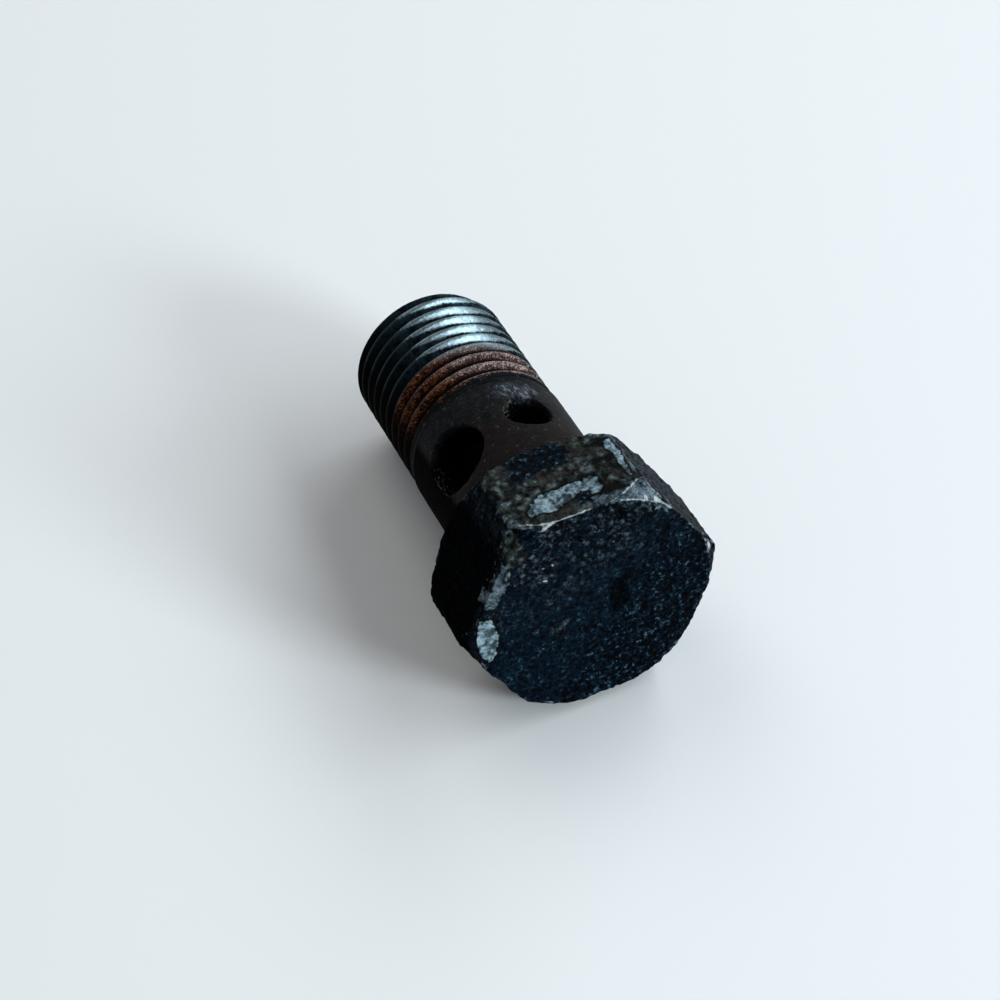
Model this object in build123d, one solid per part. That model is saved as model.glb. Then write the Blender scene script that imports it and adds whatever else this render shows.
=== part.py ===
from build123d import *
import os
from math import atan2, ceil, cos, degrees, radians, tan

# Banjo bolt, M12 x 1.25, turned from hexagon bar as one piece.
#
# It is built in the bolt's own frame: Z is the axis, Z = 0 is the bearing face under the head,
# the head is below it and the shank above. Local X points out of the flat that ends up on top.
# Turns are in degrees about the axis from that flat, counter-clockwise seen from the thread end.
# The finished bolt is then laid on the opposite flat, as it comes to rest on a bench.

# ---- driving dimensions, mm and degrees -----------------------------------------------------
ACROSS_FLATS = 17.0            # spanner size
HEAD_HEIGHT = 8.0
CORNER_RADIUS = 1.1            # long edges of the hexagon, rounded by spanners
FACE_CIRCLE = 17.4             # diameter where the outer chamfer meets the end face
FACE_CHAMFER = 52.0            # slope of that chamfer from the end face
BEARING_CIRCLE = 16.6          # diameter of the bearing face
BEARING_CHAMFER = 44.0         # slope of the chamfer from the bearing face

SHANK_LENGTH = 23.5            # bearing face to thread end
NECK_DIAMETER = 12.1
NECK_LENGTH = 10.7
NECK_CORNER = 0.3              # small cone left in the corner under the head
NECK_STEP_SLOPE = 14.0         # cone from the neck down to the thread crests, from the axis

CREST_DIAMETER = 11.9
PITCH = 1.25
FLANK_ANGLE = 30.0             # half of the 60 degree thread form
GROOVE_TURN = 213.0            # where the groove first has its full depth
RUN_OUT_TURNS = 0.75           # over which it then fades out beside the neck
END_CHAMFER = 0.85

BORE_DIAMETER = 6.4            # flow passage, from the thread end to below the cross holes
BORE_MOUTH_CHAMFER = 0.4
BORE_PAST_HOLES = 0.35         # full bore goes this far below the large hole
DRILL_POINT = 118.0
LARGE_HOLE_DIAMETER = 5.2      # both cross holes go right through the neck
LARGE_HOLE_HEIGHT = 6.1        # above the bearing face
LARGE_HOLE_TURN = -44.0
SMALL_HOLE_DIAMETER = 3.5
SMALL_HOLE_HEIGHT = 6.75
SMALL_HOLE_TURN = 19.3

# ---- what follows from them -----------------------------------------------------------------
neck_radius = NECK_DIAMETER / 2
crest_radius = CREST_DIAMETER / 2
groove_mouth = PITCH * 7 / 8                     # width of the groove at the crests, as in ISO metric
groove_depth = groove_mouth / 2 / tan(radians(FLANK_ANGLE))      # down to a sharp root
root_radius = crest_radius - groove_depth
full_depth_height = NECK_LENGTH + PITCH          # where the groove first has its full depth
cutter_overshoot = PITCH / 12                    # how far the groove's profile clears the crests
bore_floor = LARGE_HOLE_HEIGHT - LARGE_HOLE_DIAMETER / 2 - BORE_PAST_HOLES


def half_plane_face(points):
    """A closed profile given as (radius, height) points, in the plane through the axis."""
    return Plane.XZ * make_face(Polyline(*points, close=True))


def turned(points):
    return revolve(half_plane_face(points), Axis.Z)


def hexagon_bar():
    """The bar that the head is cut from, with its long edges rounded."""
    section = RegularPolygon(ACROSS_FLATS / 2, 6, major_radius=False, rotation=30)
    section = fillet(section.vertices(), CORNER_RADIUS)
    return Pos(0, 0, -HEAD_HEIGHT) * extrude(section, HEAD_HEIGHT)


def chamfer_envelope():
    """The turned shape that takes both rows of corners off the bar."""
    reach = ACROSS_FLATS / 2 / cos(radians(30)) + 0.5        # just outside the hexagon's corners
    face_radius = FACE_CIRCLE / 2
    bearing_radius = BEARING_CIRCLE / 2
    face_drop = (reach - face_radius) * tan(radians(FACE_CHAMFER))
    bearing_drop = (reach - bearing_radius) * tan(radians(BEARING_CHAMFER))
    return turned([
        (0, -HEAD_HEIGHT), (face_radius, -HEAD_HEIGHT), (reach, face_drop - HEAD_HEIGHT),
        (reach, -bearing_drop), (bearing_radius, 0), (0, 0),
    ])


def head():
    return hexagon_bar() & chamfer_envelope()


def shank_blank():
    """Neck, the small cone down to the crests, and the thread's cylinder with its end chamfer."""
    step = (neck_radius - crest_radius) / tan(radians(NECK_STEP_SLOPE))
    return turned([
        (0, 0), (neck_radius + NECK_CORNER, 0), (neck_radius, NECK_CORNER),
        (neck_radius, NECK_LENGTH), (crest_radius, NECK_LENGTH + step),
        (crest_radius, SHANK_LENGTH - END_CHAMFER), (crest_radius - END_CHAMFER, SHANK_LENGTH),
        (0, SHANK_LENGTH),
    ])


def groove_profile():
    """The 60 degree groove's section, widened a little where it stands clear of the crests."""
    top = crest_radius + cutter_overshoot
    half_width = (top - root_radius) * tan(radians(FLANK_ANGLE))
    return half_plane_face([(root_radius, 0), (top, half_width), (top, -half_width)])


def thread_groove():
    """One turn of the helical groove, repeated up the shank until it runs off the thread end."""
    turn = sweep(groove_profile(), Helix(PITCH, PITCH, crest_radius), is_frenet=True)
    turns = ceil((SHANK_LENGTH + PITCH - full_depth_height) / PITCH)
    return [Pos(0, 0, i * PITCH) * turn for i in range(turns)]


def thread_run_out():
    """The groove's other end, where the tool lifts out of the metal beside the neck.

    The path is a helix on a cone: it goes back down the shank and widens until the groove's
    root is outside the neck.
    """
    drop = PITCH * RUN_OUT_TURNS
    lift = neck_radius + cutter_overshoot - root_radius
    cone = degrees(atan2(lift, drop))
    path = Helix(PITCH / cos(radians(cone)), drop, crest_radius, direction=(0, 0, -1), cone_angle=cone)
    return sweep(groove_profile(), Rot(0, 0, 180) * path, is_frenet=True)


def threaded_shank():
    place = Pos(0, 0, full_depth_height) * Rot(0, 0, GROOVE_TURN)
    return shank_blank() - [place * piece for piece in [*thread_groove(), thread_run_out()]]


def bore():
    """Blind bore with its drill point, and the chamfer at its mouth."""
    radius = BORE_DIAMETER / 2
    point = radius / tan(radians(DRILL_POINT / 2))
    mouth = radius + BORE_MOUTH_CHAMFER
    return turned([
        (0, bore_floor - point), (radius, bore_floor), (radius, SHANK_LENGTH - BORE_MOUTH_CHAMFER),
        (mouth, SHANK_LENGTH), (mouth, SHANK_LENGTH + 1), (0, SHANK_LENGTH + 1),
    ])


def cross_hole(diameter, height, turn):
    through = Cylinder(diameter / 2, NECK_DIAMETER + 2, rotation=(0, 90, 0))
    return Pos(0, 0, height) * Rot(0, 0, turn) * through


def flow_passages():
    large = cross_hole(LARGE_HOLE_DIAMETER, LARGE_HOLE_HEIGHT, LARGE_HOLE_TURN)
    small = cross_hole(SMALL_HOLE_DIAMETER, SMALL_HOLE_HEIGHT, SMALL_HOLE_TURN)
    return [bore(), large, small]


def banjo_bolt():
    return head() + threaded_shank() - flow_passages()


def droop():
    """How far the thread end sinks below the head's axis when the bolt lies on a flat."""
    flat_edge_height = -(ACROSS_FLATS - BEARING_CIRCLE) / 2 * tan(radians(BEARING_CHAMFER))
    crest_end_height = SHANK_LENGTH - END_CHAMFER
    return degrees(atan2(ACROSS_FLATS / 2 - crest_radius, crest_end_height - flat_edge_height))


def laid_down(bolt):
    """Axis along X with the thread end lower, the bounding box's bottom centre at the origin."""
    lying = Rot(0, 90 + droop(), 0) * Rot(0, 0, 180) * bolt
    box = lying.bounding_box()
    centre = box.center()
    return Pos(-centre.X, -centre.Y, -box.min.Z) * lying


os.makedirs("parts", exist_ok=True)
export_step(laid_down(banjo_bolt()), "parts/banjo_bolt.step")
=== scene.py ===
"""Banjo bolt M12 x 1.25: a turned hexagon-head hollow bolt, painted, chipped and rusty.

Every shape is worked in the bolt's own frame, in millimetres: Z is the axis, Z = 0 the bearing
face, the head below it and the shank above, X out of the flat that lies uppermost. Wear is
bounded in millimetres or in degrees about the axis from X. The finished pieces are then laid down
into the part's frame, in metres.
"""

import logging
import math
from dataclasses import dataclass, field
from enum import Enum

import bmesh
import bpy
import numpy as np
from mathutils import Matrix, Vector, noise

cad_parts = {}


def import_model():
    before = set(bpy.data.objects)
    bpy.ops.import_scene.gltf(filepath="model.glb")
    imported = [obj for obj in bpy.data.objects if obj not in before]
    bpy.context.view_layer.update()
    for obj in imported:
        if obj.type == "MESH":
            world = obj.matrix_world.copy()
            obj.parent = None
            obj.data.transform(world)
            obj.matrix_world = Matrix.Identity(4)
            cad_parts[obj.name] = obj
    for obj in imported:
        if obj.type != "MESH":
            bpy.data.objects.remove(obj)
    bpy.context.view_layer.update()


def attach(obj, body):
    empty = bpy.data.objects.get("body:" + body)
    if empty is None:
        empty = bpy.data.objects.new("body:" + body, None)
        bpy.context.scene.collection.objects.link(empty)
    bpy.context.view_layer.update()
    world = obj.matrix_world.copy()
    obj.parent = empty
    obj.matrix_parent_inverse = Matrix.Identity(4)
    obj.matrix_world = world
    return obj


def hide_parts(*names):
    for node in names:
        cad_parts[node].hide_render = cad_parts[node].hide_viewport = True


NODE = "banjo_bolt"
LOG = logging.getLogger(NODE)
FACETS = 192
HOLE_FACETS = 128
Triple = tuple[float, float, float]
Colour = Triple
Outline = list[tuple[float, float]]
Array = np.ndarray
Masks = dict[str, Array]
Piece = bpy.types.Object
Socket = bpy.types.NodeSocket
Number = Socket | float


class Finish(Enum):
    """The name of a material slot for the bolt, which nothing in this script uses."""

    STEEL = "blackened_steel"


class Face(Enum):
    """A face of the head that a mark's outline is drawn on."""

    TOP = "top flat, outline as (height, across)"
    END = "outer face, outline as (across, up)"


@dataclass(frozen=True)
class Sizes:
    """The bolt's sizes in millimetres and degrees, as in the solid part.

    A cross hole is its radius, height and turn. The bearing face's middle is in metres.
    """

    across_flats: float = 17.0
    head_height: float = 8.0
    corner_radius: float = 1.1
    face_circle: float = 17.4
    face_chamfer: float = 52.0
    bearing_circle: float = 16.6
    bearing_chamfer: float = 44.0
    shank_length: float = 23.5
    neck_radius: float = 6.05
    neck_length: float = 10.7
    neck_corner: float = 0.3
    step_end: float = 11.1
    crest_radius: float = 5.95
    pitch: float = 1.25
    groove_start: float = 11.95
    groove_turn: float = 213.0
    groove_depth: float = 0.767
    flank_angle: float = 30.0
    run_out_turns: float = 0.75
    end_chamfer: float = 0.85
    bore_radius: float = 3.2
    bore_floor: float = 3.15
    mouth_chamfer: float = 0.4
    drill_point: float = 118.0
    large_hole: Triple = (2.6, 6.1, -44.0)
    small_hole: Triple = (1.75, 6.75, 19.3)
    bearing_centre: Triple = (-0.0075136, 0.0, 0.0084261)

    @property
    def corner_reach(self) -> float:
        """Distance of the unrounded hexagon's corners from the axis."""
        return self.across_flats / 2 / math.cos(math.radians(30))

    @property
    def droop(self) -> float:
        """How far the axis drops towards the thread end.

        Returns:
            The angle in radians.
        """
        edge = -(self.across_flats - self.bearing_circle) / 2 * math.tan(
            math.radians(self.bearing_chamfer))
        reach = self.shank_length - self.end_chamfer - edge
        return math.atan2(self.across_flats / 2 - self.crest_radius, reach)

    def lay_down(self) -> Matrix:
        """Finds how the bolt lies.

        Returns:
            The transform from its own frame in mm to the part's frame in metres.
        """
        turn = Matrix.Rotation(math.radians(90) + self.droop, 4, "Y")
        flip = Matrix.Rotation(math.pi, 4, "Z")
        return Matrix.Translation(self.bearing_centre) @ turn @ flip @ Matrix.Scale(0.001, 4)


# ---- mesh tools


def mesh_from(bm: bmesh.types.BMesh, name: str) -> Piece:
    """Makes an object of a bmesh and frees the bmesh.

    Args:
        bm: The finished bmesh.
        name: Name of the new object.

    Returns:
        The object, linked to the scene.
    """
    bmesh.ops.recalc_face_normals(bm, faces=bm.faces[:])
    mesh = bpy.data.meshes.new(name)
    bm.to_mesh(mesh)
    bm.free()
    piece = bpy.data.objects.new(name, mesh)
    bpy.context.scene.collection.objects.link(piece)
    return piece


def apply_modifiers(piece: Piece) -> None:
    """Replaces a piece's mesh by what its modifiers make of it.

    Args:
        piece: The object.
    """
    depsgraph = bpy.context.evaluated_depsgraph_get()
    depsgraph.update()
    made = bpy.data.meshes.new_from_object(piece.evaluated_get(depsgraph))
    piece.modifiers.clear()
    old = piece.data
    piece.data = made
    bpy.data.meshes.remove(old)


def combine(piece: Piece, tool: Piece, operation: str) -> None:
    """Applies one exact boolean to a piece and deletes the tool.

    Args:
        piece: The object that is changed.
        tool: The object that it is combined with.
        operation: DIFFERENCE, INTERSECT or UNION.
    """
    cut = piece.modifiers.new(operation.lower(), "BOOLEAN")
    cut.operation = operation
    cut.solver = "EXACT"
    cut.object = tool
    apply_modifiers(piece)
    bpy.data.objects.remove(tool)


def even_faces(piece: Piece, grain: float) -> None:
    """Remeshes a piece into even small faces for the wear, without slivers.

    Args:
        piece: The closed object.
        grain: Side of the new faces.
    """
    remesh = piece.modifiers.new("even_faces", "REMESH")
    remesh.mode = "VOXEL"
    remesh.voxel_size = grain
    apply_modifiers(piece)
    bm = bmesh.new()
    bm.from_mesh(piece.data)
    bmesh.ops.dissolve_degenerate(bm, dist=grain / 50, edges=bm.edges[:])
    bmesh.ops.recalc_face_normals(bm, faces=bm.faces[:])
    bm.to_mesh(piece.data)
    bm.free()


def sweep(bm: bmesh.types.BMesh, profile: Outline, steps: int, climb: float = 0.0) -> None:
    """Turns a half profile once round the bolt's axis.

    Args:
        bm: The bmesh that the skin is added to.
        profile: The profile as (radius, height).
        steps: Number of facets round the axis.
        climb: Rise in one turn.
    """
    line = [bm.verts.new((r, 0.0, z)) for r, z in profile]
    edges = [bm.edges.new(pair) for pair in zip(line, line[1:])]
    bmesh.ops.spin(bm, geom=line + edges, cent=(0, 0, 0), axis=(0, 0, 1), angle=math.tau,
                   dvec=(0, 0, climb / steps), steps=steps, use_merge=not climb)


def turned(profile: Outline, name: str) -> Piece:
    """A solid of revolution about the bolt's axis.

    Args:
        profile: The half profile, from axis to axis.
        name: Name of the object.

    Returns:
        The closed object.
    """
    bm = bmesh.new()
    sweep(bm, profile, FACETS)
    bmesh.ops.remove_doubles(bm, verts=bm.verts[:], dist=1e-5)
    return mesh_from(bm, name)


def drill(hole: Triple, name: str) -> Piece:
    """A drill's cylinder across the neck, through the axis.

    Args:
        hole: The hole's radius, height and turn.
        name: Name of the object.

    Returns:
        The cylinder.
    """
    radius, height, turn = hole
    bm = bmesh.new()
    place = (Matrix.Translation((0, 0, height)) @ Matrix.Rotation(math.radians(turn), 4, "Z")
             @ Matrix.Rotation(math.radians(90), 4, "Y"))
    bmesh.ops.create_cone(bm, cap_ends=True, segments=HOLE_FACETS, radius1=radius,
                          radius2=radius, depth=16, matrix=place)
    return mesh_from(bm, name)


def read_vectors(source: bpy.types.bpy_prop_collection, name: str) -> Array:
    """Reads a vector property of all of a mesh's vertices.

    Args:
        source: The vertices or their normals.
        name: The property.

    Returns:
        The vectors as rows.
    """
    flat = np.empty(len(source) * 3, np.float32)
    source.foreach_get(name, flat)
    return flat.reshape(-1, 3).astype(np.float64)


def sink(mesh: bpy.types.Mesh, depth: Array) -> None:
    """Moves vertices inwards along their normals.

    Args:
        mesh: The mesh that is changed.
        depth: How far each vertex goes in.
    """
    points = read_vectors(mesh.vertices, "co")
    normals = read_vectors(mesh.vertex_normals, "vector")
    moved = points - normals * depth[:, None]
    mesh.vertices.foreach_set("co", moved.astype(np.float32).ravel())
    mesh.update()


def write_masks(mesh: bpy.types.Mesh, masks: Masks) -> None:
    """Stores numbers on the vertices for the materials.

    Args:
        mesh: The mesh.
        masks: One number a vertex, by the name that a material reads.
    """
    for name, values in masks.items():
        layer = mesh.attributes.new(name, "FLOAT", "POINT")
        layer.data.foreach_set("value", values.astype(np.float32))


def roughness(points: Array, scale: float, octaves: int, seed: float) -> Array:
    """Fractal noise at points.

    Args:
        points: Rows of coordinates.
        scale: Waves a millimetre.
        octaves: Number of octaves.
        seed: Shift of the pattern.

    Returns:
        A value near -1 to 1 for each point.
    """
    shift = Vector((seed, -2.3 * seed, 1.7 * seed))
    return np.array([noise.fractal(Vector(p) * scale + shift, 0.8, 2.1, octaves)
                     for p in points.tolist()])


def smooth(values: Array, low: float, high: float) -> Array:
    """Smooth step from 0 at low to 1 at high, or falling where low is above high."""
    t = np.clip((values - low) / (high - low), 0, 1)
    return t * t * (3 - 2 * t)


def inside(points: Array, outline: Outline) -> Array:
    """Signed distance to an outline.

    Args:
        points: Rows of plane coordinates.
        outline: The closed outline's corners.

    Returns:
        Distance to its nearest side, positive inside.
    """
    corners = np.array(outline)
    nearest = np.full(len(points), 1e9)
    crossed = np.zeros(len(points), bool)
    for a, b in zip(corners, np.roll(corners, -1, axis=0)):
        side, away = b - a, points - a
        along = np.clip(away @ side / (side @ side), 0, 1)
        nearest = np.minimum(nearest, np.hypot(*(away - along[:, None] * side).T))
        spans = (a[1] > points[:, 1]) != (b[1] > points[:, 1])
        rise = side[1] or 1e-12
        crossed ^= spans & (points[:, 0] < side[0] * (points[:, 1] - a[1]) / rise + a[0])
    return np.where(crossed, nearest, -nearest)


# ---- finishes


class Graph:
    """One material's nodes, with patterns in millimetres of the part's frame."""

    def __init__(self, name: str) -> None:
        """Starts a material with a plain shader.

        Args:
            name: The material's name.
        """
        self.material = bpy.data.materials.new(name)
        self.material.use_nodes = True
        self.nodes = self.material.node_tree.nodes
        self.links = self.material.node_tree.links
        self.shader = self.nodes["Principled BSDF"]
        self.place = self.mapped(self.node("TexCoord", {}).outputs["Object"], (1000.0,) * 3)

    def put(self, socket: Socket, value: Number | Colour) -> None:
        """Links a socket or sets its value.

        Args:
            socket: The input.
            value: Another node's output, a number or a colour.
        """
        if isinstance(value, Socket):
            self.links.new(value, socket)
        elif isinstance(value, tuple) and len(socket.default_value) == 4:
            socket.default_value = (*value, 1.0)
        else:
            socket.default_value = value

    def node(self, kind: str, values: dict[int | str, Number | Colour],
             **settings: str) -> bpy.types.Node:
        """Adds a node.

        Args:
            kind: Its type.
            values: What goes into its inputs.
            settings: Its properties.

        Returns:
            The node.
        """
        node = self.nodes.new("ShaderNode" + kind)
        for name, value in settings.items():
            setattr(node, name, value)
        for key, value in values.items():
            self.put(node.inputs[key], value)
        return node

    def mapped(self, source: Socket, scale: Triple) -> Socket:
        """Scales coordinates."""
        return self.node("Mapping", {"Vector": source, "Scale": scale}).outputs["Vector"]

    def mask(self, name: str) -> Socket:
        """The number stored on the vertices under a name."""
        return self.node("Attribute", {}, attribute_name=name).outputs["Fac"]

    def noise(self, scale: float, detail: float = 5.0, rough: float = 0.55,
              warp: float = 0.0, shift: float = 0.0, along: float = 1.0) -> Socket:
        """Noise at a number of waves a millimetre.

        Args:
            scale: Waves a millimetre.
            detail: Octaves.
            rough: Strength of each further octave.
            warp: Distortion.
            shift: Another pattern for each number.
            along: Scale along the part's X, below 1 for streaks.

        Returns:
            The noise from 0 to 1.
        """
        place = self.place if along == 1 else self.mapped(self.place, (along, 1.0, 1.0))
        values = {"Vector": place, "W": shift, "Scale": scale, "Detail": detail,
                  "Roughness": rough, "Distortion": warp}
        return self.node("TexNoise", values, noise_dimensions="4D").outputs[0]

    def warped(self, scale: float, amount: float) -> Socket:
        """Coordinates that wander, for irregular grains.

        Args:
            scale: Waves a millimetre.
            amount: How far they wander.

        Returns:
            The coordinates.
        """
        wave = self.noise(scale, 2, 0.5).node.outputs["Color"]
        values = {0: wave, 1: (amount,) * 3, 2: self.place}
        return self.node("VectorMath", values, operation="MULTIPLY_ADD").outputs["Vector"]

    def grains(self, scale: float, place: Socket) -> Socket:
        """Rounded grains, so many a millimetre: 1 at their middles, 0 between them."""
        node = self.node("TexVoronoi", {"Vector": place, "Scale": scale})
        return self.fade(node.outputs["Distance"], 0.85, 0.1)

    def merge(self, kind: str, first: Number, second: Number) -> Socket:
        """Works out one number from two by an operation."""
        return self.node("Math", {0: first, 1: second}, operation=kind).outputs[0]

    def sum(self, first: Number, second: Number) -> Socket:
        """Adds two numbers."""
        return self.merge("ADD", first, second)

    def times(self, first: Number, second: Number) -> Socket:
        """Multiplies two numbers."""
        return self.merge("MULTIPLY", first, second)

    def frayed(self, base: Socket, *grains: tuple[Socket, float]) -> Socket:
        """Adds noises about their middle to a number.

        Args:
            base: The number.
            grains: Noises from 0 to 1 with their strengths.

        Returns:
            The frayed number.
        """
        for grain, amount in grains:
            base = self.sum(self.sum(base, -0.5 * amount), self.times(grain, amount))
        return base

    def patch(self, name: str, low: float, high: float, *grains: tuple[Socket, float],
              to: float = 1.0) -> Socket:
        """Smooth step of a stored mask that noises have frayed."""
        return self.fade(self.frayed(self.mask(name), *grains), low, high, to)

    def fade(self, source: Socket, low: float, high: float, to: float = 1.0) -> Socket:
        """Smooth step of a number, from 0 at the low value to its most at the high one."""
        values = {"Value": source, "From Min": low, "From Max": high, "To Max": to}
        return self.node("MapRange", values, interpolation_type="SMOOTHSTEP").outputs[0]

    def ramp(self, source: Socket, *stops: tuple[float, Colour]) -> Socket:
        """Colours along a number.

        Args:
            source: The number.
            stops: Places and their colours.

        Returns:
            The colour.
        """
        node = self.node("ValToRGB", {"Fac": source})
        band = node.color_ramp
        while len(band.elements) < len(stops):
            band.elements.new(0.5)
        for element, (place, colour) in zip(band.elements, stops):
            element.position = place
            element.color = (*colour, 1.0)
        return node.outputs["Color"]

    def blend(self, amount: Number, under: Number | Colour, over: Number | Colour) -> Socket:
        """Mixes two colours or greys.

        Args:
            amount: Share of the second.
            under: The first.
            over: The second.

        Returns:
            The mixed colour.
        """
        values = {key: (value,) * 3 if key and isinstance(value, float) else value
                  for key, value in ((0, amount), (6, under), (7, over))}
        return self.node("Mix", values, data_type="RGBA").outputs[2]

    def relief(self, height: Socket) -> None:
        """Feeds the shader with a relief whose height is in millimetres."""
        node = self.node("Bump", {"Distance": 0.001, "Height": height})
        self.put(self.shader.inputs["Normal"], node.outputs["Normal"])

    def dress(self, colour: Socket, rough: Number, gloss: Number,
              metal: Number = 0.0) -> bpy.types.Material:
        """Connects the shader.

        Args:
            colour: Base colour.
            rough: Roughness.
            gloss: Specular level.
            metal: Share of bare metal.

        Returns:
            The finished material.
        """
        for name, value in (("Base Color", colour), ("Roughness", rough),
                            ("Specular IOR Level", gloss), ("Metallic", metal)):
            self.put(self.shader.inputs[name], value)
        return self.material


@dataclass(frozen=True)
class ChippedPaint:
    """Old blue-black paint over grey primer, chipped to bare steel."""

    pit_and_shade: Colour = (0.0003, 0.0005, 0.0008)
    paint_dark: Colour = (0.0004, 0.0019, 0.0045)
    paint: Colour = (0.0009, 0.0058, 0.0135)
    paint_pale: Colour = (0.004, 0.016, 0.029)
    paint_fleck: Colour = (0.06, 0.1, 0.13)
    shaded: Colour = (0.0012, 0.0014, 0.0018)
    haze_dark: Colour = (0.002, 0.0058, 0.0112)
    haze: Colour = (0.0135, 0.0235, 0.034)
    haze_pale: Colour = (0.068, 0.096, 0.114)
    dark_primer_and_shade: Colour = (0.003, 0.0035, 0.0035)
    primer: Colour = (0.02, 0.026, 0.0255)
    primer_mid: Colour = (0.046, 0.058, 0.057)
    primer_pale: Colour = (0.13, 0.16, 0.165)
    brown: Colour = (0.035, 0.032, 0.028)
    steel_dark: Colour = (0.007, 0.02, 0.028)
    steel: Colour = (0.065, 0.118, 0.15)
    steel_pale: Colour = (0.26, 0.365, 0.415)
    rubbed_dark: Colour = (0.01, 0.017, 0.023)
    rubbed: Colour = (0.04, 0.06, 0.075)
    rubbed_pale: Colour = (0.17, 0.22, 0.25)
    bright: Colour = (0.42, 0.45, 0.45)

    def make(self) -> bpy.types.Material:
        """Builds the material.

        Returns:
            The material.
        """
        g = Graph("chipped_blue_black_paint")
        broad, clouds = g.noise(0.35, 3), g.noise(0.95, 4, 0.55)
        fine, grain = g.noise(2.8, 4, 0.58), g.noise(8.0, 4, 0.6, shift=3)
        wander = g.warped(0.9, 1.1)
        blobs = g.grains(1.35, wander)
        crumbs = g.fade(g.noise(3.3, 3, 0.62, shift=6), 0.34, 0.68)
        grit, shade, low = g.mask("grit"), g.mask("shade"), g.mask("low")
        frayed = ((clouds, 0.5), (fine, 0.5), (grain, 0.12))
        raw_chip = g.frayed(g.mask("chip"), *frayed)
        chip = g.fade(raw_chip, -0.02, 0.03)
        # Painted shadow: a dark ring just outside each chip, where the paint's edge stands.
        lip_shadow = g.fade(raw_chip, -0.32, -0.06, 0.9)
        primer = g.patch("primer", -0.1, 0.14, (clouds, 1.2), (fine, 0.9))
        teal = g.patch("teal", -0.04, 0.1, (clouds, 0.6), (crumbs, 0.5))
        rubbed = g.patch("rub", -0.05, 0.12, (clouds, 0.5), (fine, 0.9))
        scuff = g.patch("scuff", 0.0, 0.12, (clouds, 0.6), (fine, 0.6))
        # Painted highlights and glints along the face's rim, edges and corners, partly bare worn
        # metal.
        bright = g.patch("bright", 0.0, 0.06, (clouds, 0.25), (fine, 0.2), (grain, 0.2))
        pits = g.patch("pit", 0.1, 0.4, (clouds, 1.2), (crumbs, 0.9))
        haze = g.times(g.mask("haze"), g.fade(g.frayed(clouds, (broad, 1.2)), 0.34, 0.52))
        gritty = g.times(g.times(g.sum(crumbs, -0.6), 0.75), grit)
        tone = g.frayed(g.sum(gritty, 0.57), (fine, 1.7), (grain, 1.2), (clouds, 0.6))
        paint = g.ramp(tone, (0.2, self.pit_and_shade), (0.4, self.paint_dark),
                       (0.55, self.paint), (0.82, self.paint_pale), (1.0, self.paint_fleck))
        mottle = g.noise(1.7, 6, 0.66, 0.5, shift=9)
        lumps = g.grains(2.5, g.warped(1.7, 0.6))
        dust_and_sheen = g.ramp(g.frayed(mottle, (grain, 0.4), (lumps, 0.2)), (0.38, self.pit_and_shade),
                       (0.47, self.haze_dark), (0.54, self.haze), (0.68, self.haze_pale))
        paint = g.blend(haze, paint, dust_and_sheen)
        holes = g.fade(g.noise(3.6, 2, 0.5, 0.4, shift=8), 0.61, 0.68)
        paint = g.blend(g.times(holes, 0.85), paint, self.pit_and_shade)
        curl = g.merge("ABSOLUTE", g.sum(g.noise(1.6, 3, 0.6, 0.6, shift=12), -0.5), 0.0)
        seams = g.times(g.fade(curl, 0.04, 0.005), g.sum(haze, 0.3))
        paint = g.blend(seams, paint, self.pit_and_shade)
        flecks = g.fade(g.noise(6.5, 2, 0.55, shift=7), 0.69, 0.75)
        # Painted shade: the paint is darkened where its surface is sunk lowest.
        paint = g.blend(g.fade(low, 0.55, 1.0, 0.8), paint, self.pit_and_shade)
        paint = g.blend(pits, paint, self.pit_and_shade)
        paint = g.blend(shade, paint, self.shaded)
        paint = g.blend(g.times(flecks, 0.5), paint, self.paint_fleck)
        ground = g.sum(g.times(blobs, 0.5), g.times(g.mask("pale"), 0.16))
        grey = g.ramp(g.frayed(ground, (clouds, 1.5), (fine, 1.1), (broad, 0.5)),
                      (0.04, self.dark_primer_and_shade), (0.24, self.primer), (0.42, self.primer_mid),
                      (0.62, self.primer_pale))
        browned = g.fade(g.sum(broad, g.times(g.mask("pale"), -0.12)), 0.47, 0.58, 0.5)
        grey = g.blend(browned, grey, self.brown)
        # Painted shade: the primer is darkened where its surface is sunk lowest.
        grey = g.blend(g.fade(low, 0.5, 0.95, 0.8), grey, self.dark_primer_and_shade)
        bare = g.ramp(g.frayed(fine, (clouds, 1.3), (crumbs, 0.25), (grain, 0.3)),
                      (0.35, self.steel_dark), (0.48, self.steel), (0.7, self.steel_pale))
        worn = g.ramp(g.frayed(clouds, (fine, 0.8), (grain, 0.9)), (0.3, self.rubbed_dark),
                      (0.48, self.rubbed), (0.74, self.rubbed_pale))
        colour = g.blend(primer, paint, grey)
        colour = g.blend(teal, colour, paint)
        colour = g.blend(rubbed, colour, worn)
        colour = g.blend(scuff, colour, worn)
        lip_shadow = g.times(lip_shadow, g.merge("SUBTRACT", 1.0, chip))
        colour = g.blend(lip_shadow, colour, self.dark_primer_and_shade)
        colour = g.blend(chip, colour, bare)
        # Colour of the painted highlights and glints.
        polish_and_glint = g.ramp(g.frayed(clouds, (fine, 0.6)), (0.34, self.rubbed_pale),
                        (0.6, self.bright))
        colour = g.blend(bright, colour, polish_and_glint)
        height = g.frayed(g.times(blobs, 0.08), (fine, 0.17), (grain, 0.06), (clouds, 0.14))
        height = g.sum(height, g.times(g.times(crumbs, grit), 0.1))
        height = g.sum(height, g.times(g.sum(chip, pits), -0.14))
        g.relief(height)
        rough = g.blend(chip, g.blend(primer, 0.36, 0.7), 0.36)
        gloss = g.blend(chip, g.blend(primer, g.blend(shade, 0.014, 0.0), 0.05), 0.35)
        return g.dress(colour, rough, gloss)


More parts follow.
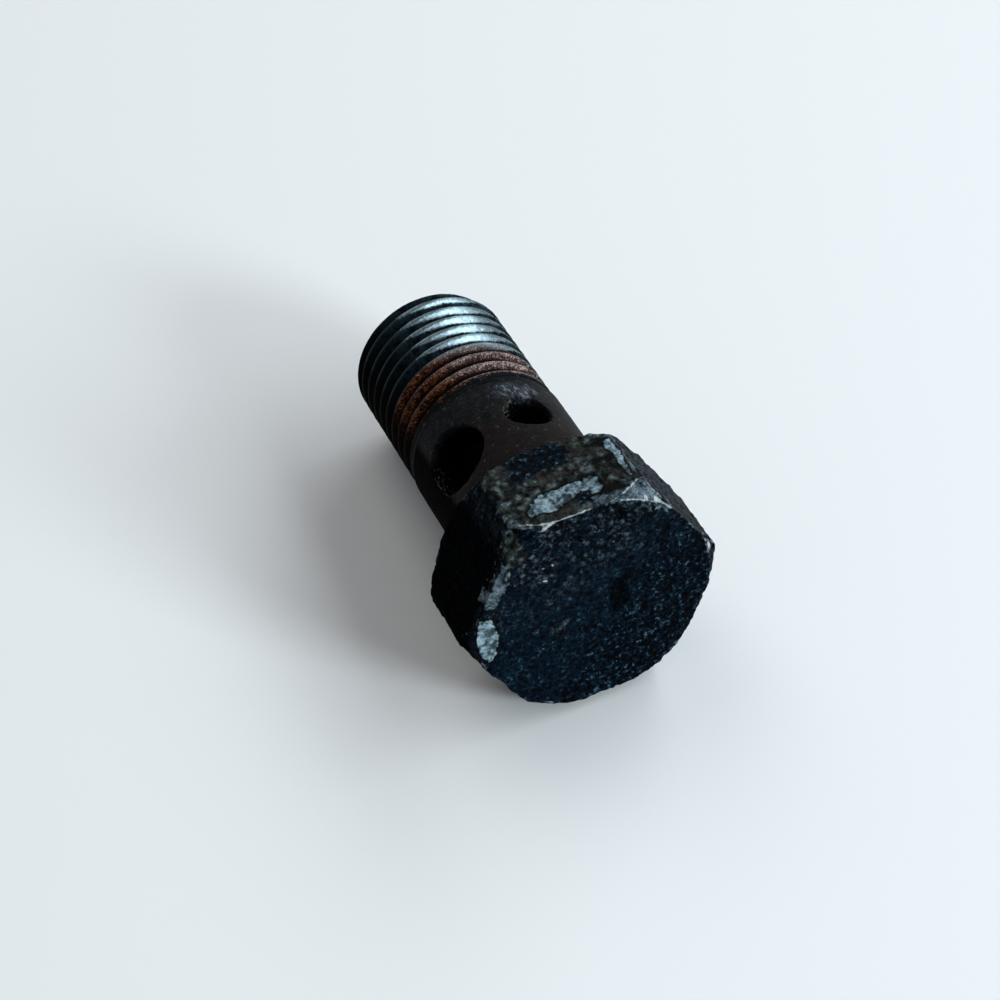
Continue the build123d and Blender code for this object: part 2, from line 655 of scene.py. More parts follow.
@dataclass(frozen=True)
class ScaledNeck:
    """Unpainted, heat-browned steel with fine rust."""

    dark: Colour = (0.0012, 0.0013, 0.0017)
    base: Colour = (0.0052, 0.0062, 0.008)
    warm: Colour = (0.024, 0.0205, 0.0205)
    brown: Colour = (0.011, 0.0068, 0.0055)
    cool_dark: Colour = (0.003, 0.005, 0.0085)
    cool: Colour = (0.022, 0.027, 0.034)
    cool_pale: Colour = (0.2, 0.23, 0.26)
    speck: Colour = (0.2, 0.13, 0.095)
    rust_dark: Colour = (0.004, 0.0028, 0.0032)
    rust_base: Colour = (0.018, 0.0105, 0.0092)
    rust_pale: Colour = (0.22, 0.15, 0.125)
    # Colour of the shade painted inside the bore and the cross holes.
    hollow: Colour = (0.0015, 0.0012, 0.0012)
    # Colour of the shade painted on the left side, which the thread uses too.
    soot: Colour = (0.0016, 0.0011, 0.0011)
    fleck: Colour = (0.28, 0.26, 0.22)

    def make(self) -> bpy.types.Material:
        """Builds the material.

        Returns:
            The material.
        """
        g = Graph("browned_neck_steel")
        broad, middle = g.noise(0.3, 4), g.noise(1.2, 6, 0.62, shift=1)
        fine, grain = g.noise(4.5, 5, 0.65, shift=2), g.noise(11.0, 4, 0.65, shift=3)
        colour = g.ramp(g.frayed(middle, (fine, 1.2), (grain, 0.8)), (0.32, self.dark),
                        (0.52, self.base), (0.8, self.warm))
        browned = g.patch("browned", 0.3, 0.8, (broad, 1.0), (middle, 0.6), to=0.6)
        colour = g.blend(browned, colour, self.brown)
        streaks = g.noise(5.5, 4, 0.6, shift=5, along=0.35)
        # Partly painted highlight: a pale bluish rubbed patch between the small hole and the
        # thread.
        cool = g.patch("cool", 0.0, 0.5, (middle, 1.2), (fine, 0.6))
        polish_and_glint = g.ramp(g.frayed(streaks, (grain, 0.4)), (0.36, self.cool_dark),
                        (0.52, self.cool), (0.72, self.cool_pale))
        colour = g.blend(cool, colour, polish_and_glint)
        rust = g.patch("rust", 0.2, 0.8, (middle, 0.9), (fine, 0.9))
        scale = g.ramp(g.frayed(fine, (grain, 1.0)), (0.4, self.rust_dark),
                       (0.58, self.rust_base), (0.84, self.rust_pale))
        colour = g.blend(rust, colour, scale)
        specks = g.fade(g.frayed(g.grains(2.6, g.warped(0.9, 1.1)), (grain, 0.5)), 0.96, 1.08)
        specks = g.times(specks, g.fade(middle, 0.42, 0.56))
        colour = g.blend(specks, colour, self.speck)
        # Painted shade: the neck's left side is darkened almost to black.
        soot = g.patch("soot", 0.1, 0.7, (middle, 0.5), (fine, 0.5), to=0.93)
        colour = g.blend(soot, colour, self.soot)
        # Painted shade: near black inside the bore and the cross holes.
        hollow = g.times(g.mask("hollow"), g.fade(g.frayed(fine, (grain, 0.5)), 0.68, 0.6))
        colour = g.blend(hollow, colour, self.hollow)
        flecks = g.fade(g.frayed(streaks, (grain, 0.7)), 0.54, 0.68)
        colour = g.blend(g.times(flecks, g.mask("flecked")), colour, self.fleck)
        g.relief(g.frayed(g.times(fine, 0.08), (grain, 0.06), (middle, 0.08)))
        dull = g.merge("MAXIMUM", g.mask("hollow"), soot)
        return g.dress(colour, 0.6, g.blend(dull, 0.07, 0.0))


@dataclass(frozen=True)
class RustyThread:
    """Bare dark thread steel, with rust in the grooves nearest the neck."""

    grime: Colour = (0.0018, 0.0042, 0.0055)
    lit_groove: Colour = (0.016, 0.031, 0.04)
    tarnish: Colour = (0.026, 0.037, 0.042)
    steel: Colour = (0.09, 0.135, 0.16)
    steel_pale: Colour = (0.24, 0.305, 0.33)
    # Colour of the painted highlight on the rust's crests.
    crest_highlight: Colour = (0.085, 0.068, 0.066)
    rust_dark: Colour = (0.006, 0.003, 0.0025)
    rust_base: Colour = (0.042, 0.0135, 0.0065)
    rust_pale: Colour = (0.36, 0.12, 0.03)
    dust_and_sheen_dark: Colour = (0.03, 0.0125, 0.0085)
    dust_and_sheen: Colour = (0.09, 0.054, 0.049)
    dust_and_sheen_pale: Colour = (0.55, 0.44, 0.42)

    def make(self) -> bpy.types.Material:
        """Builds the material.

        Returns:
            The material.
        """
        g = Graph("rusty_thread_steel")
        middle, fine = g.noise(1.6, 5, 0.6, shift=4), g.noise(5.0, 5, 0.65, shift=2)
        grain = g.noise(12.0, 3, 0.6, shift=3)
        # Painted light and shade: bare reflective steel only on the lit upper side, grime on the
        # shaded left.
        bare_on_lit_side = g.patch("bare_on_lit_side", -0.06, 0.1, (middle, 0.25), (fine, 0.35))
        deep = g.patch("depth", 0.01, 0.12, (fine, 0.16))
        # Painted light: the grooves are paler where the thread is lit.
        lit = g.times(g.mask("lit"), g.fade(g.frayed(middle, (fine, 0.8)), 0.36, 0.62))
        rust = g.patch("rust", 0.2, 0.7, (middle, 0.8), (fine, 0.9))
        colour = g.blend(deep, self.tarnish, g.blend(lit, self.grime, self.lit_groove))
        bare = g.blend(g.fade(g.frayed(fine, (grain, 0.6)), 0.3, 0.7), self.steel,
                       self.steel_pale)
        colour = g.blend(bare_on_lit_side, colour, bare)
        worked = g.frayed(g.times(g.mask("depth"), -0.45), (fine, 1.3), (grain, 1.3),
                          (middle, 0.7))
        # Partly painted highlight: the rust is paler pinkish grey on the right side.
        dust_and_sheen = g.ramp(g.sum(worked, 0.62), (0.34, self.dust_and_sheen_dark), (0.54, self.dust_and_sheen),
                       (0.86, self.dust_and_sheen_pale))
        orange = g.ramp(g.frayed(fine, (grain, 1.2), (middle, 1.1)), (0.36, self.rust_dark),
                        (0.52, self.rust_base), (0.8, self.rust_pale))
        scale = g.blend(g.mask("dust_and_sheen"), orange, dust_and_sheen)
        sparks = g.fade(g.frayed(grain, (fine, 0.6)), 0.63, 0.72, 0.8)
        scale = g.blend(sparks, scale, self.dust_and_sheen_pale)
        low = g.patch("depth", 0.35, 0.75, (fine, 0.5))
        scale = g.blend(low, scale, self.rust_dark)
        # Painted highlight on the rust's crests.
        high = g.patch("depth", 0.2, -0.1, (grain, 0.5), to=0.7)
        scale = g.blend(high, scale, self.crest_highlight)
        colour = g.blend(rust, colour, scale)
        # Painted shade: the thread's left side is darkened almost to black.
        soot = g.patch("soot", 0.1, 0.7, (middle, 0.5), (fine, 0.5), to=0.85)
        colour = g.blend(soot, colour, ScaledNeck().soot)
        # Painted shade: near black inside the bore.
        colour = g.blend(g.mask("hollow"), colour, ScaledNeck().hollow)
        height = g.times(g.frayed(fine, (grain, 0.5)), g.blend(rust, 0.02, 0.1))
        g.relief(g.frayed(height, (middle, 0.04)))
        metal = g.times(bare_on_lit_side, g.fade(rust, 0.6, 0.1, 0.95))
        rough = g.blend(rust, g.blend(bare_on_lit_side, 0.6, 0.33), 0.8)
        return g.dress(colour, rough, g.blend(bare_on_lit_side, 0.03, 0.3), metal)


# ---- the bolt


# Outlines of the worn places on each face, by what is worn off or left there, and of the painted
# highlights and glints.
MARKS: dict[Face, dict[str, list[Outline]]] = {
    Face.TOP: {
        "chip": [
            [(-6.75, -3.25), (-6.0, -3.2), (-5.2, -2.2), (-4.9, -1.5), (-5.0, -0.6), (-4.85, 0.5),
             (-4.9, 1.4), (-4.75, 2.2), (-5.8, 2.3), (-6.6, 2.1), (-6.65, 1.5), (-6.1, 1.15),
             (-5.9, 0.7), (-6.2, 0.25), (-6.5, -0.2), (-6.6, -0.8), (-6.9, -1.3), (-6.8, -1.9),
             (-6.55, -2.4)],
            [(-2.0, 4.2), (-2.0, 4.65), (-3.3, 4.8), (-4.9, 4.5), (-6.2, 4.5), (-6.25, 4.22),
             (-4.9, 4.12), (-3.6, 4.22), (-2.75, 3.95)],
        ],
        "teal": [
            [(-3.1, -3.1), (-1.0, -2.8), (-0.3, -1.8), (-0.1, 0.5), (-1.2, 2.0), (-2.0, 1.8),
             (-2.9, 0.5)],
            [(-7.3, 0.2), (-6.2, 0.2), (-5.8, 0.8), (-6.2, 1.3), (-6.9, 1.5), (-7.2, 2.6),
             (-7.6, 3.2)],
        ],
        "rub": [
            [(-1.4, 4.4), (-1.4, 5.0), (-4.6, 5.1), (-4.6, 4.7), (-2.0, 4.8)],
            [(-6.95, -4.9), (-6.4, -4.9), (-6.5, -3.9), (-6.9, -4.0)],
            [(-4.9, -4.9), (-4.5, -4.9), (-4.4, -3.7), (-4.8, -3.8)],
        ],
        "pale": [
            [(-5.2, -3.5), (-5.0, -3.3), (-4.65, -1.6), (-4.2, 0.5), (-3.8, 2.0), (-4.0, 2.0),
             (-4.45, 0.4), (-4.95, -1.65)],
            [(-3.6, -5.0), (-3.0, -4.1), (-4.4, -3.6), (-5.2, -3.1), (-6.4, -3.6), (-7.1, -3.8),
             (-6.8, -5.0), (-5.1, -5.2)],
        ],
    },
    Face.END: {
        "chip": [
            [(-8.2, 2.2), (-7.5, 2.1), (-7.1, 1.0), (-7.15, -0.2), (-7.5, -1.2), (-8.0, -1.8),
             (-8.6, -0.8), (-8.6, 0.8)],
            [(-6.1, 4.9), (-5.9, 5.6), (-5.55, 5.6), (-5.7, 4.9)],
        ],
        "rub": [
            [(-6.05, 6.3), (-5.5, 5.5), (-5.75, 4.55), (-6.35, 3.8), (-6.95, 2.95), (-7.75, 3.05),
             (-7.9, 3.7), (-7.1, 4.6), (-6.6, 5.45)],
            [(1.0, 8.55), (2.6, 8.9), (3.8, 9.5), (4.5, 9.5), (5.0, 8.4), (5.7, 7.0), (6.5, 5.9),
             (5.9, 5.7), (4.9, 6.9), (4.3, 7.5), (3.0, 8.05), (1.2, 8.4)],
        ],
        "primer": [[(-5.6, 8.7), (-4.6, 8.1), (-4.2, 6.6), (-4.6, 5.8), (-5.7, 6.0), (-6.0, 7.4)]],
        "haze": [
            [(-3.3, -0.7), (-2.4, 0.0), (-1.9, -0.6), (-2.5, -2.1), (-3.3, -1.6)],
            [(-0.9, 2.2), (0.3, 1.9), (0.6, 0.9), (-0.5, 0.6)],
        ],
        # Painted highlights and glints on edges and corners, partly bare worn metal.
        "bright": [
            [(3.6, 9.25), (3.75, 9.5), (4.5, 9.5), (5.1, 8.3), (4.85, 8.2), (4.3, 9.1)],
            [(5.2, 7.1), (5.35, 7.25), (6.5, 5.85), (6.3, 5.7)],
            [(4.55, 7.6), (4.75, 7.65), (4.8, 7.45), (4.6, 7.4)],
            [(8.55, 2.0), (8.8, 1.9), (8.8, 1.6), (8.6, 1.6)],
            [(8.75, 1.35), (9.05, 1.3), (9.1, 0.7), (8.85, 0.6)],
            [(-3.45, 4.9), (-3.2, 4.9), (-3.15, 4.7), (-3.4, 4.7)],
            [(-2.7, 4.9), (-2.55, 4.9), (-2.5, 4.65), (-2.65, 4.65)],
            [(-5.75, 5.65), (-5.5, 5.6), (-5.6, 5.15), (-5.8, 5.3)],
            [(-3.45, 3.8), (-3.15, 3.75), (-3.15, 3.6), (-3.4, 3.6)],
        ],
        "pit": [
            [(1.0, -1.0), (1.6, -1.3), (2.6, -0.8), (2.4, 0.9), (3.0, 1.4), (2.4, 1.8),
             (1.2, 1.4)],
            [(-0.9, 6.0), (-0.2, 5.9), (0.0, 7.2), (-0.7, 7.3)],
            [(2.2, 6.6), (3.2, 6.4), (3.3, 7.4), (2.5, 7.6)],
        ],
    },
}


@dataclass
class HexHead:
    """The chamfered hexagon head with its chipped paint."""

    sizes: Sizes = field(default_factory=Sizes)
    grain: float = 0.11
    texture: float = 0.07
    chip_depth: float = 0.07
    pit_depth: float = 0.12
    deepest: float = 0.25

    def bar(self) -> Piece:
        """Makes the hexagon bar with its rounded long edges.

        Returns:
            The bar.
        """
        s = self.sizes
        bm = bmesh.new()
        bmesh.ops.create_cone(bm, cap_ends=True, segments=6, radius1=s.corner_reach,
                              radius2=s.corner_reach, depth=s.head_height,
                              matrix=Matrix.Translation((0, 0, -s.head_height / 2)))
        long_edges = [e for e in bm.edges if abs(e.verts[0].co.z - e.verts[1].co.z) > 1]
        offset = s.corner_radius * math.tan(math.radians(30))
        bmesh.ops.bevel(bm, geom=long_edges, offset=offset, offset_type="OFFSET", segments=8,
                        profile=0.5, affect="EDGES", material=-1)
        return mesh_from(bm, "hex_head")

    def envelope(self) -> Piece:
        """Turns the shape that takes both rows of corners off the bar.

        Returns:
            The shape.
        """
        s = self.sizes
        reach = s.corner_reach + 0.5
        face, bearing = s.face_circle / 2, s.bearing_circle / 2
        face_drop = (reach - face) * math.tan(math.radians(s.face_chamfer))
        bearing_drop = (reach - bearing) * math.tan(math.radians(s.bearing_chamfer))
        return turned([(0, -s.head_height), (face, -s.head_height),
                       (reach, face_drop - s.head_height), (reach, -bearing_drop),
                       (bearing, 0), (0, 0)], "chamfer_envelope")

    def edge_distance(self, points: Array) -> Array:
        """Measures how far points are from the head's nearest edge.

        Args:
            points: Points on the surface.

        Returns:
            The distance of each.
        """
        s = self.sizes
        turn = np.radians(np.arange(0, 360, 60))
        walls = [s.across_flats / 2 - points[:, 0] * math.cos(t) - points[:, 1] * math.sin(t)
                 for t in turn]
        reach = np.hypot(points[:, 0], points[:, 1])
        up, down = math.radians(s.face_chamfer), math.radians(s.bearing_chamfer)
        walls += [points[:, 2] + s.head_height, -points[:, 2],
                  (s.face_circle / 2 - reach) * math.sin(up)
                  + (points[:, 2] + s.head_height) * math.cos(up),
                  (s.bearing_circle / 2 - reach) * math.sin(down)
                  - points[:, 2] * math.cos(down)]
        return np.sort(np.array(walls), axis=0)[1]

    def masks(self, points: Array) -> Masks:
        """Works out where the paint is chipped, scuffed or hazed, and where highlights and shade
        are painted.

        Args:
            points: The vertices.

        Returns:
            The masks by name.
        """
        x, y, z = points.T
        on = {Face.TOP: (points[:, [2, 1]], x - 8.0), Face.END: (points[:, [1, 0]], -z - 7.0)}
        found = {kind: np.full(len(points), -2.0) for kinds in MARKS.values() for kind in kinds}
        for face, kinds in MARKS.items():
            plane, near = on[face]
            for kind, outlines in kinds.items():
                for outline in outlines:
                    placed = np.minimum(inside(plane, outline), near)
                    found[kind] = np.maximum(found[kind], placed)
        top = np.minimum.reduce([(x - 8.3) * 6, 4.6 - np.abs(y) * 0.9, z + 8.1])
        found["primer"] = np.clip(np.maximum(found["primer"], top), -2, 2)
        edge = self.edge_distance(points)
        # Painted highlight: a thin bright line along the outer face's top rim.
        rim = np.interp(y, [-5.0, -3.8, -1.6, 0.4, 1.2, 3.4, 5.6, 6.6],
                        [0.02, 0.05, 0.16, 0.13, 0.03, 0.09, 0.07, 0])
        rim = np.where((z < -6.6) & (x > 6.4), rim, -0.2) - edge
        found["bright"] = np.maximum(found["bright"], rim)
        right = smooth(y, 3.2, 4.6) * smooth(x, 6.5, 8.0)
        found["scuff"] = 0.02 + 0.2 * right + 0.04 * smooth(z, -6.6, -7.4) - edge
        spots = smooth(found["haze"], -0.2, 0.3)
        found["haze"] = np.maximum(spots, smooth(x - 0.3 * y, 0.5, 6.0)) * smooth(z, -7.4, -7.9)
        gritty = np.maximum(smooth(y - 0.8 * x, -1.0, 6.0), smooth(z, -7.8, -7.0))
        found["grit"] = 0.25 + 0.75 * gritty
        found["pale"] = smooth(found["pale"], -0.15, 0.3)
        left = smooth(np.abs(np.degrees(np.arctan2(y, x)) + 75), 60, 42)
        found["shade"] = 0.95 * smooth(z, -7.9, -7.2) * smooth(x, 8.4, 6.0) * left
        return found

    def build(self) -> Piece:
        """Shapes and wears the head.

        Returns:
            The piece in the bolt's own frame.
        """
        piece = self.bar()
        combine(piece, self.envelope(), "INTERSECT")
        even_faces(piece, self.grain)
        points = read_vectors(piece.data.vertices, "co")
        masks = self.masks(points)
        rough = roughness(points, 0.9, 3, 11.0)
        fine = roughness(points, 2.6, 2, 5.0)
        edge = self.edge_distance(points)
        depth = self.texture + 0.06 * rough + 0.06 * fine * masks["grit"]
        # The low mask carries the shade painted into the sunken spots.
        masks["low"] = np.clip(0.5 + (depth - self.texture) * 6, 0, 1)
        depth += self.pit_depth * smooth(masks["pit"] + 0.5 * fine, 0.0, 0.4)
        depth += self.chip_depth * smooth(masks["chip"] + 0.15 * fine, -0.08, 0.08)
        depth += smooth(edge, 0.6, 0.0) * np.clip(0.03 + 0.08 * rough, 0, 0.12)
        sink(piece.data, np.clip(depth, 0, self.deepest))
        write_masks(piece.data, masks)
        return piece


@dataclass
class HollowNeck:
    """The plain neck with the bore's lower end and both cross holes."""

    sizes: Sizes = field(default_factory=Sizes)
    sunk: float = 0.6
    grain: float = 0.11
    texture: float = 0.012
    deepest: float = 0.08

    def masks(self, points: Array) -> Masks:
        """Works out where the neck is rusty, where its rubbed patch carries a painted highlight,
        and where shade is painted: on its left side and inside the bore and holes.

        Args:
            points: The vertices.

        Returns:
            The masks by name.
        """
        x, y, z = points.T
        turn, reach = np.degrees(np.arctan2(y, x)), np.hypot(x, y)
        walls = smooth(reach, 5.97, 5.8) * smooth(reach, 4.0, 4.8)
        small = smooth(turn, 17, 9) * smooth(turn, -8, -2)
        large = 0.6 * smooth(turn, -44, -54) * smooth(z, 4.9, 6.0) * smooth(z, 8.4, 7.2)
        front = smooth(turn, 60, 10) * smooth(turn, -95, -55)
        # The hollow mask marks where shade is painted inside the bore and the cross holes.
        return {"hollow": smooth(reach, 5.85, 5.2),
                # A rubbed patch that also carries a painted highlight.
                "cool": 1 - np.hypot((turn - 20) / 22, (z - 9.3) / 1.2),
                "flecked": walls * np.maximum(small, large),
                "rust": 0.45 * smooth(z, 9.9, 11.2) * front,
                "browned": smooth(z, 8.5, 4.5),
                # Painted shade on the left side, centred 108 degrees round from X.
                "soot": smooth(np.abs(turn + 108), 56, 34)}

    def build(self) -> Piece:
        """Turns, bores, drills and weathers the neck.

        Returns:
            The piece in the bolt's own frame.
        """
        s = self.sizes
        corner = s.neck_radius + s.neck_corner
        piece = turned([(0, -self.sunk), (corner, -self.sunk), (corner, 0),
                        (s.neck_radius, s.neck_corner), (s.neck_radius, s.neck_length),
                        (0, s.neck_length)], "hollow_neck")
        point = s.bore_radius / math.tan(math.radians(s.drill_point / 2))
        bore = turned([(0, s.bore_floor - point), (s.bore_radius, s.bore_floor),
                       (s.bore_radius, s.neck_length + 1), (0, s.neck_length + 1)], "bore")
        for tool in (bore, drill(s.large_hole, "large_drill"), drill(s.small_hole, "small_drill")):
            combine(piece, tool, "DIFFERENCE")
        even_faces(piece, self.grain)
        points = read_vectors(piece.data.vertices, "co")
        rough = roughness(points, 1.1, 3, 3.0)
        fine = roughness(points, 3.0, 2, 8.0)
        sink(piece.data, np.clip(self.texture * (1 + rough + fine), 0, self.deepest))
        write_masks(piece.data, self.masks(points))
        return piece


@dataclass
class ThreadedEnd:
    """The threaded part of the shank with the bore's upper end."""

    sizes: Sizes = field(default_factory=Sizes)
    start: float = 10.3
    columns: int = 300
    root_round: float = 0.17
    crest_round: float = 0.06
    run_out_rise: float = 0.25
    covered_inset: float = 0.06
    rust_fill: float = 0.2

    def pitch_stations(self) -> list[float]:
        """Spaces one pitch's rings, denser at the groove's edges.

        Returns:
            Their heights from the groove's middle.
        """
        half = self.sizes.pitch / 2
        near = [0.0, 0.05, 0.11, 0.18, 0.26, 0.34, 0.42, 0.49, 0.55, 0.59]
        return [-d for d in reversed(near[1:])] + near + [half]

    def surface_radius(self, turn: Array, height: Array) -> Array:
        """Radius of the turned and threaded surface.

        Args:
            turn: Angle about the axis in radians.
            height: Height above the bearing face.

        Returns:
            The radius at each point.
        """
        s = self.sizes
        step = np.interp(height, [0, s.neck_length, s.step_end, 99],
                         [s.neck_radius, s.neck_radius, s.crest_radius, s.crest_radius])
        end = s.crest_radius - (height - (s.shank_length - s.end_chamfer))
        blank = np.minimum(step, end)
        lead = s.groove_start + s.pitch * (turn - math.radians(s.groove_turn)) / math.tau
        centre = lead + s.pitch * np.round((height - lead) / s.pitch)
        run_out = s.run_out_turns * s.pitch
        centre = np.where(centre < s.groove_start - run_out, centre + s.pitch, centre)
        rise = np.clip((s.groove_start - centre) / run_out, 0, None)
        floor = s.crest_radius - s.groove_depth + rise * (s.groove_depth + self.run_out_rise)
        away = np.abs(height - centre)
        flank = (away - s.pitch / 16) / math.tan(math.radians(s.flank_angle))
        scoop = np.minimum(away, self.root_round)
        bowl = self.root_round - np.sqrt(self.root_round ** 2 - scoop ** 2)
        groove = floor + np.maximum(flank, bowl)
        share = np.clip(0.5 + 0.25 * (groove - blank) / self.crest_round, 0, 1)
        drop = 2 * self.crest_round * share * (1 - share)
        return groove * (1 - share) + blank * share - drop

    def skin(self) -> bmesh.types.BMesh:
        """Winds a plain helical skin and cuts it square at both ends.

        Returns:
            The open skin, with its rings where the groove needs them.
        """
        s = self.sizes
        bm = bmesh.new()
        phase = (s.groove_start - s.pitch * s.groove_turn / 360) % s.pitch
        first = math.floor((self.start - phase) / s.pitch) - 2
        last = math.ceil((s.shank_length - phase) / s.pitch) + 1
        heights = sorted({round(phase + k * s.pitch + d, 6)
                          for k in range(first, last) for d in self.pitch_stations()})
        sweep(bm, [(s.crest_radius, z) for z in heights], self.columns, s.pitch)
        bmesh.ops.remove_doubles(bm, verts=bm.verts[:], dist=1e-3)
        for height, side in ((self.start, -1), (s.shank_length, 1)):
            geom = bm.verts[:] + bm.edges[:] + bm.faces[:]
            bmesh.ops.bisect_plane(bm, geom=geom, dist=1e-4, plane_co=(0, 0, height),
                                   plane_no=(0, 0, side), clear_outer=True)
        return bm

    def worn_radius(self, points: Array) -> Array:
        """Radius of the skin once it is threaded, worn and filled with rust.

        Args:
            points: The plain skin's vertices.

        Returns:
            The radius at each of them.
        """
        s = self.sizes
        turn, z = np.arctan2(points[:, 1], points[:, 0]), points[:, 2]
        radius = self.surface_radius(turn, z)
        rough = roughness(points, 1.3, 3, 21.0)
        fine = roughness(points, 3.5, 2, 2.0)
        radius -= np.clip(0.012 + 0.012 * rough + 0.01 * fine, 0, 0.05)
        fill = np.clip(self.rust(turn, z) * (0.5 + 0.6 * rough + 0.5 * fine), 0, 1)
        radius += self.rust_fill * fill * np.clip(s.crest_radius - 0.1 - radius, 0, 1)
        return np.where(z < s.neck_length - 0.04, s.neck_radius - self.covered_inset, radius)

    def masks(self, points: Array) -> Masks:
        """Works out where the thread is deep or rusty, and where light and shade are painted: bare
        steel and paler grooves on the lit side, a sheen on the rust's right and shade on the left.

        Args:
            points: The vertices.

        Returns:
            The masks by name.
        """
        s = self.sizes
        x, y, z = points.T
        reach, turn = np.hypot(x, y), np.arctan2(y, x)
        side = np.degrees(turn)
        deep = np.where(z < 11.8, 0.45, (s.crest_radius - reach) / s.groove_depth)
        # Painted light and shade: bare steel from -38 to 62 degrees, dimmer towards the end.
        lit_side = smooth(side, -38, 4) * (0.2 + 0.8 * smooth(side, 62, 22)) * smooth(z, 14, 15)
        lit_side *= 1 - 0.4 * smooth(z, 20.2, 22.4)
        return {"depth": np.clip(np.where(z > 22.6, 0.12, deep), 0, 1),
                "hollow": smooth(reach, 4.4, 3.5),
                # Painted shade inside the bore.
                "rust": self.rust(turn, z),
                "bare_on_lit_side": -0.16 + 0.78 * lit_side - deep,
                # Partly painted highlight: paler rust on the right side.
                "dust_and_sheen": smooth(side, -28, 8),
                # Painted shade on the left side, centred 108 degrees round from X.
                "soot": smooth(np.abs(side + 108), 54, 30),
                # Painted light: the grooves' paler colour on the lit side.
                "lit": smooth(side, -62, -20) * smooth(side, 80, 50) * smooth(z, 14, 15.5)}

    def build(self) -> Piece:
        """Threads the skin and closes it with the bore.

        Returns:
            The piece in the bolt's own frame.
        """
        s = self.sizes
        bm = self.skin()
        points = np.array([v.co[:] for v in bm.verts])
        turn = np.arctan2(points[:, 1], points[:, 0])
        for vert, r, t in zip(bm.verts, self.worn_radius(points).tolist(), turn.tolist()):
            vert.co.x, vert.co.y = r * math.cos(t), r * math.sin(t)
        self.add_bore(bm)
        for height in (self.start, s.shank_length):
            rim = [e for e in bm.edges if e.is_boundary
                   and all(abs(v.co.z - height) < 1e-3 for v in e.verts)]
            bmesh.ops.triangle_fill(bm, edges=rim, use_beauty=True)
        piece = mesh_from(bm, "threaded_end")
        write_masks(piece.data, self.masks(read_vectors(piece.data.vertices, "co")))
        piece.data.set_sharp_from_angle(angle=math.radians(50))
        return piece

    def rust(self, turn: Array, height: Array) -> Array:
        """Works out how rusty the thread is.

        Args:
            turn: Angle about the axis in radians.
            height: Height above the bearing face.

        Returns:
            The rust at each point, from 0 to 1.
        """
        side = np.degrees((turn + math.pi) % math.tau - math.pi)
        around = smooth(side, 75, 20) * smooth(side, -95, -55)
        below = 0.2 + 0.8 * smooth(height, 11.4, 12.3)
        return (0.2 + 0.8 * around) * smooth(height, 16.0, 15.0) * below

    def add_bore(self, bm: bmesh.types.BMesh) -> None:
        """Adds the bore's wall and the chamfer at its mouth.

        Args:
            bm: The threaded skin.
        """
        s = self.sizes
        mouth = s.shank_length - s.mouth_chamfer
        profile = [(s.bore_radius + 0.01, self.start), (s.bore_radius, s.neck_length)]
        profile += [(s.bore_radius, z) for z in np.linspace(10.9, mouth, 24).tolist()]
        profile += [(s.bore_radius + s.mouth_chamfer, s.shank_length)]
        sweep(bm, profile, HOLE_FACETS)


# ---- the studio


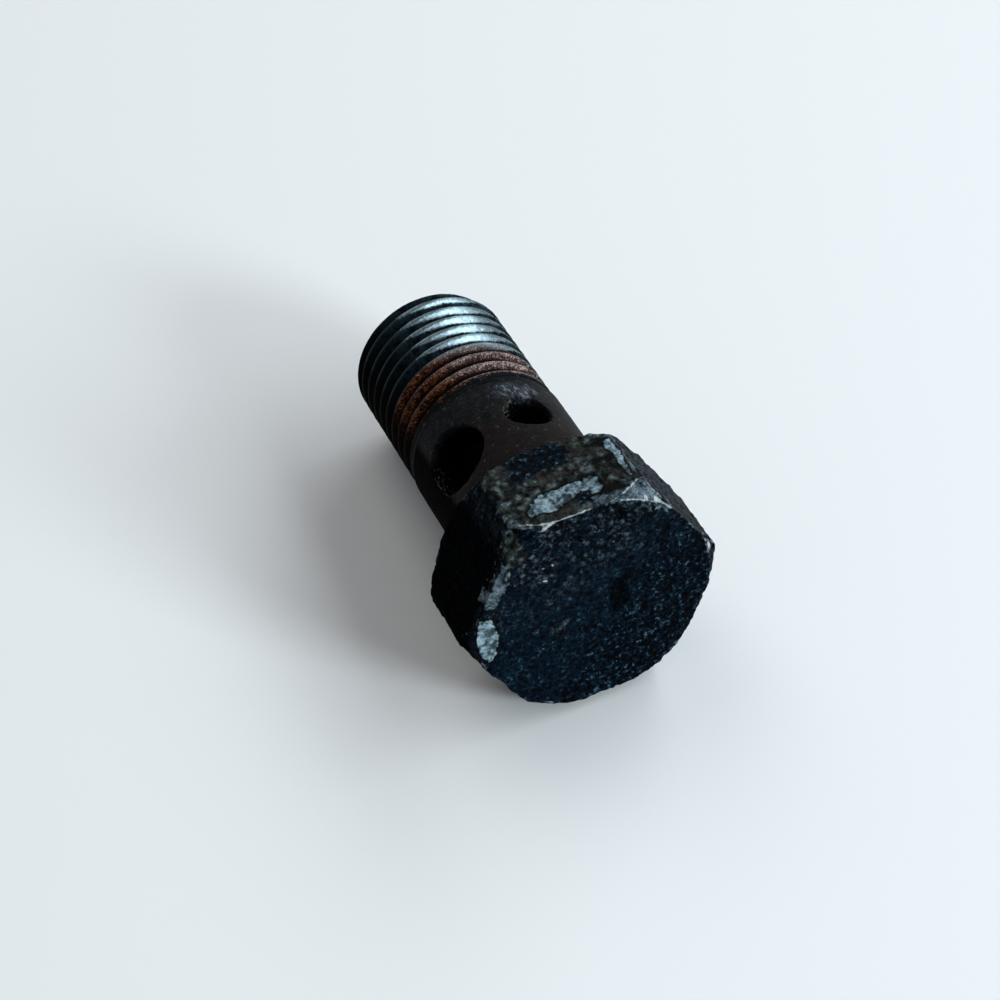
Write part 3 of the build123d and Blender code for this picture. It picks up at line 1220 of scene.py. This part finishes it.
@dataclass
class Studio:
    """The floor, the lights and the camera."""

    camera_at: Triple = (-0.127559, 0.043298, 0.151320)
    right: Triple = (-0.3936, -0.91605, -0.0770)
    up: Triple = (0.65781, -0.33917, 0.6725)
    lens: float = 98.6

    def add_camera(self) -> None:
        """Adds the camera."""
        data = bpy.data.cameras.new("view")
        data.lens = self.lens
        data.clip_start, data.clip_end = 0.01, 10
        camera = bpy.data.objects.new("view", data)
        bpy.context.scene.collection.objects.link(camera)
        right, up = Vector(self.right).normalized(), Vector(self.up)
        up = (up - right * right.dot(up)).normalized()
        turn = Matrix((right, up, right.cross(up))).transposed().to_4x4()
        camera.matrix_world = Matrix.Translation(self.camera_at) @ turn
        bpy.context.scene.camera = camera

    def add_floor(self) -> None:
        """Adds the pale floor."""
        bm = bmesh.new()
        bmesh.ops.create_grid(bm, x_segments=1, y_segments=1, size=1.5)
        floor = mesh_from(bm, "floor")
        paint = bpy.data.materials.new("pale_floor")
        paint.use_nodes = True
        shader = paint.node_tree.nodes["Principled BSDF"]
        shader.inputs["Base Color"].default_value = (0.86, 0.86, 0.86, 1)
        shader.inputs["Roughness"].default_value = 0.9
        floor.data.materials.append(paint)

    def add_light(self, name: str, at: Triple, size: tuple[float, float], radiance: float,
                  colour: Colour) -> None:
        """Adds a soft lamp that faces the bolt.

        Args:
            name: Name of the lamp.
            at: Its place in metres.
            size: Its width and height in metres.
            radiance: Its brightness.
            colour: Its colour.
        """
        data = bpy.data.lights.new(name, "AREA")
        data.shape = "RECTANGLE"
        data.size, data.size_y = size
        data.energy, data.color = radiance * math.pi * size[0] * size[1], colour
        lamp = bpy.data.objects.new(name, data)
        bpy.context.scene.collection.objects.link(lamp)
        lamp.location = at
        lamp.rotation_euler = lamp.location.to_track_quat("Z", "Y").to_euler()

    def build(self) -> None:
        """Sets up the studio."""
        self.add_camera()
        self.add_floor()
        self.add_light("strip", (0.0, -0.55, 0.5), (1.4, 0.3), 4.2, (0.86, 0.95, 1.0))
        self.add_light("front", (-0.48, -0.29, 0.22), (0.16, 0.14), 36.0, (0.84, 0.95, 1.0))
        self.add_light("top", (0.35, 0.06, 0.5), (0.4, 0.4), 1.5, (1.0, 0.98, 0.95))
        world = bpy.data.worlds.new("room")
        world.use_nodes = True
        shade = world.node_tree.nodes["Background"]
        shade.inputs["Color"].default_value = (0.9, 0.95, 1.0, 1)
        shade.inputs["Strength"].default_value = 0.2
        bpy.context.scene.world = world
        bpy.context.scene.view_settings.view_transform = "Standard"


def finish_piece(piece: Piece, sizes: Sizes, material: bpy.types.Material) -> None:
    """Lays a piece down in the part's frame and gives it its material.

    Args:
        piece: The piece in the bolt's own frame.
        sizes: The bolt's sizes.
        material: Its finish.
    """
    piece.data.transform(sizes.lay_down())
    piece.data.materials.append(material)
    piece.data.polygons.foreach_set("use_smooth", [True] * len(piece.data.polygons))
    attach(piece, "root")
    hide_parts(NODE)
    triangles = sum(len(p.vertices) - 2 for p in piece.data.polygons)
    LOG.info("%s: %d triangles", piece.name, triangles)


def main() -> None:
    """Builds the studio and the bolt's pieces in order and reports each."""
    logging.basicConfig(level=logging.INFO)
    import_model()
    sizes = Sizes()
    Studio().build()
    for maker, finish in ((HexHead, ChippedPaint), (HollowNeck, ScaledNeck),
                          (ThreadedEnd, RustyThread)):
        finish_piece(maker(sizes).build(), sizes, finish().make())
    bpy.context.view_layer.update()


if __name__ == "__main__":
    main()
